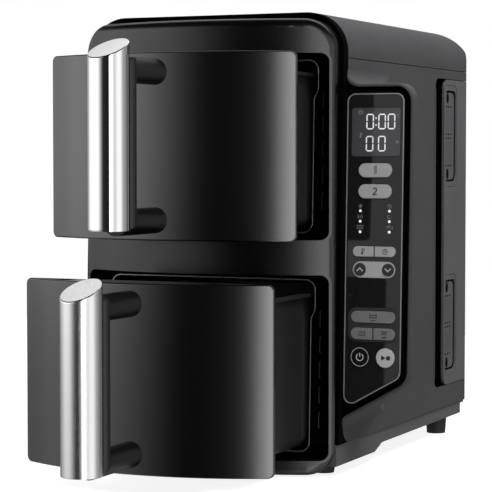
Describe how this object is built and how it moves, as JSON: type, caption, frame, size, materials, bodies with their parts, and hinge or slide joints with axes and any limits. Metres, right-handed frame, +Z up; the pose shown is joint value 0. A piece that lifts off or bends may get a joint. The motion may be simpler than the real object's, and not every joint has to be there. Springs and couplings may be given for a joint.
{
  "type": "air fryer",
  "caption": "Upright air fryer with stacked pull-out basket drawers behind a curved front, bright upright handles and a side control pod with push keys.",
  "frame": {"origin": "bottom centre of the bounding box at rest, on the worktop", "axes": "+Z up, the front with its drawers faces -Y, +X to the right, towards the control pod"},
  "size_m": [0.299, 0.585, 0.3865],
  "materials": {
    "fascia_plastic": "fine satin moulded plastic, black",
    "frame_plastic": "matte moulded plastic, black",
    "shell_plastic": "fine-textured moulded plastic, dark grey",
    "trim_plastic": "fine-textured moulded plastic, mid grey",
    "panel_gloss": "smooth glossy black overlay",
    "chrome": "polished chrome",
    "key_grey": "satin grey key caps",
    "key_dark": "dark satin key caps",
    "display_glass": "smoked display window",
    "lamp_clear": "clear white light pipe",
    "liner_steel": "pressed aluminised sheet",
    "basket_coating": "dark non-stick coating",
    "silicone": "soft black silicone",
    "steel": "plain steel",
    "heater_steel": "oxidised heating tube",
    "fan_metal": "stamped aluminium",
    "board": "glass-fibre circuit board",
    "rubber": "black rubber"
  },
  "bodies": {
    "housing": {"front_fascia": "fascia_plastic", "front_frame": "frame_plastic", "top_cover": "shell_plastic", "right_side_shell": "shell_plastic", "left_side_shell": "shell_plastic", "rear_cover": "trim_plastic", "rear_screws": "steel", "vent_channels": "frame_plastic", "right_vent_grilles": "trim_plastic", "left_vent_grilles": "trim_plastic", "cord_inlet": "frame_plastic", "base_tray": "trim_plastic", "feet": "rubber", "control_panel": "panel_gloss", "panel_outline": "chrome", "arrow_trim": "key_grey", "mode_trim": "key_dark", "display_window": "display_glass", "mode_lamps": "lamp_clear", "control_board": "board", "power_board": "board", "upper_liner": "liner_steel", "upper_fan_guard": "liner_steel", "upper_heater": "heater_steel", "upper_fan_motor": "steel", "lower_liner": "liner_steel", "lower_fan_guard": "liner_steel", "lower_heater": "heater_steel", "lower_fan_motor": "steel"},
    "upper_drawer_body": {"upper_basket": "basket_coating", "upper_drawer_front": "fascia_plastic", "upper_handle_core": "frame_plastic", "upper_handle_grip": "chrome", "upper_handle_screws": "steel", "upper_crisper_plate": "basket_coating", "upper_plate_feet": "silicone"},
    "upper_fan_body": {"upper_fan": "fan_metal", "upper_fan_shaft": "steel"},
    "lower_drawer_body": {"lower_basket": "basket_coating", "lower_drawer_front": "fascia_plastic", "lower_handle_core": "frame_plastic", "lower_handle_grip": "chrome", "lower_handle_screws": "steel", "lower_crisper_plate": "basket_coating", "lower_plate_feet": "silicone"},
    "lower_fan_body": {"lower_fan": "fan_metal", "lower_fan_shaft": "steel"},
    "zone_1_key_body": {"zone_1_key": "key_grey"},
    "zone_2_key_body": {"zone_2_key": "key_grey"},
    "temperature_key_body": {"temperature_key": "key_grey"},
    "timer_key_body": {"timer_key": "key_grey"},
    "up_key_body": {"up_key": "key_dark"},
    "down_key_body": {"down_key": "key_dark"},
    "stack_key_body": {"stack_key": "key_grey"},
    "finish_together_key_body": {"finish_together_key": "key_grey"},
    "same_settings_key_body": {"same_settings_key": "key_grey"},
    "power_key_body": {"power_key": "key_dark"},
    "start_key_body": {"start_key": "key_grey"}
  },
  "joints": [
    {"name": "upper_drawer", "type": "slide", "parent": "housing", "child": "upper_drawer_body", "axis": [0, -1, 0], "range_m": [-0.065, 0.135]},
    {"name": "lower_drawer", "type": "slide", "parent": "housing", "child": "lower_drawer_body", "axis": [0, -1, 0], "range_m": [-0.109, 0.091]},
    {"name": "upper_fan_spin", "type": "hinge", "parent": "housing", "child": "upper_fan_body", "pos_m": [-0.02903, 0.2075, 0.2747], "axis": [0, 1, 0], "continuous": true},
    {"name": "lower_fan_spin", "type": "hinge", "parent": "housing", "child": "lower_fan_body", "pos_m": [-0.02903, 0.2075, 0.0915], "axis": [0, 1, 0], "continuous": true},
    {"name": "zone_1_key_press", "type": "slide", "parent": "housing", "child": "zone_1_key_body", "axis": [0, 1, 0], "range_m": [0, 0.0008], "stiffness_N_per_m": 900},
    {"name": "zone_2_key_press", "type": "slide", "parent": "housing", "child": "zone_2_key_body", "axis": [0, 1, 0], "range_m": [0, 0.0008], "stiffness_N_per_m": 900},
    {"name": "temperature_key_press", "type": "slide", "parent": "housing", "child": "temperature_key_body", "axis": [0, 1, 0], "range_m": [0, 0.0008], "stiffness_N_per_m": 900},
    {"name": "timer_key_press", "type": "slide", "parent": "housing", "child": "timer_key_body", "axis": [0, 1, 0], "range_m": [0, 0.0008], "stiffness_N_per_m": 900},
    {"name": "up_key_press", "type": "slide", "parent": "housing", "child": "up_key_body", "axis": [0, 1, 0], "range_m": [0, 0.0008], "stiffness_N_per_m": 900},
    {"name": "down_key_press", "type": "slide", "parent": "housing", "child": "down_key_body", "axis": [0, 1, 0], "range_m": [0, 0.0008], "stiffness_N_per_m": 900},
    {"name": "stack_key_press", "type": "slide", "parent": "housing", "child": "stack_key_body", "axis": [0, 1, 0], "range_m": [0, 0.0008], "stiffness_N_per_m": 900},
    {"name": "finish_together_key_press", "type": "slide", "parent": "housing", "child": "finish_together_key_body", "axis": [0, 1, 0], "range_m": [0, 0.0008], "stiffness_N_per_m": 900},
    {"name": "same_settings_key_press", "type": "slide", "parent": "housing", "child": "same_settings_key_body", "axis": [0, 1, 0], "range_m": [0, 0.0008], "stiffness_N_per_m": 900},
    {"name": "power_key_press", "type": "slide", "parent": "housing", "child": "power_key_body", "axis": [0, 1, 0], "range_m": [0, 0.0008], "stiffness_N_per_m": 900},
    {"name": "start_key_press", "type": "slide", "parent": "housing", "child": "start_key_body", "axis": [0, 1, 0], "range_m": [0, 0.0008], "stiffness_N_per_m": 900}
  ]
}
